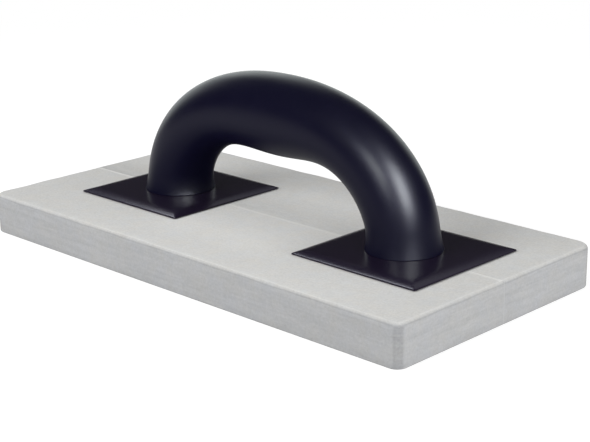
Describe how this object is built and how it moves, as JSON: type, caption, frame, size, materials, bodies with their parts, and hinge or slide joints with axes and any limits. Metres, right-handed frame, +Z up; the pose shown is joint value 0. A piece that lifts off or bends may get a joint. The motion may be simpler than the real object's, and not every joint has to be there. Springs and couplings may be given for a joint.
{
  "type": "sanding block",
  "caption": "Rigid foam sanding board, a flat rectangular slab with an arched two-legged hand grip standing on square foot plates.",
  "frame": {"origin": "middle of the sole, the flat underside of the board", "axes": "+X along the board, towards the end that the handle sits nearer; +Y across the board; +Z up, from the sole to the grip"},
  "size_m": [0.28, 0.14, 0.0926],
  "materials": {
    "board_foam": "rigid foam, cut faces with fine drawn streaks",
    "board_glue": "dried glue, slightly paler than the foam",
    "pad_glue": "dried glue",
    "foot_plastic": "satin moulded plastic",
    "handle_plastic": "satin moulded plastic",
    "screw_steel": "zinc plated"
  },
  "bodies": {
    "root": {"board_near": "board_foam", "board_far": "board_foam", "board_glue_line": "board_glue", "glue_pad_left": "pad_glue", "glue_pad_right": "pad_glue", "foot_left": "foot_plastic", "foot_right": "foot_plastic", "screws_left": "screw_steel", "screws_right": "screw_steel", "handle": "handle_plastic"}
  },
  "joints": []
}
